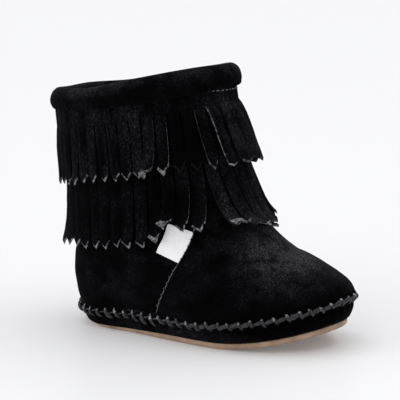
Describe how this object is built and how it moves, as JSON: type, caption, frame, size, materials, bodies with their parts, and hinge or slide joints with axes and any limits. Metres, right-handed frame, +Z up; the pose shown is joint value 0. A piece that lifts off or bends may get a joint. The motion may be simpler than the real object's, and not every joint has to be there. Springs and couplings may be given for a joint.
{
  "type": "fringed moccasin boot",
  "caption": "Small ankle boot in suede with two tiers of cut fringe, a rolled collar, a whipped moccasin bottom and a thin ribbed rubber sole.",
  "frame": {"origin": "on the ground under the middle of the whole boot's box", "axes": "+X to the toe, +Y to the inner (big toe) side, +Z up"},
  "size_m": [0.1414, 0.0684, 0.116],
  "materials": {
    "suede": "matt black suede, brushed nap",
    "rubber": "moulded gum rubber, satin",
    "lining": "brushed textile lining",
    "ribbon": "white satin ribbon, blank"
  },
  "bodies": {
    "root": {"outsole": "rubber", "suede_bottom": "suede", "insole": "lining", "upper": "suede", "rolled_collar": "suede", "upper_fringe": "suede", "lower_fringe": "suede", "side_label": "ribbon"}
  },
  "joints": []
}
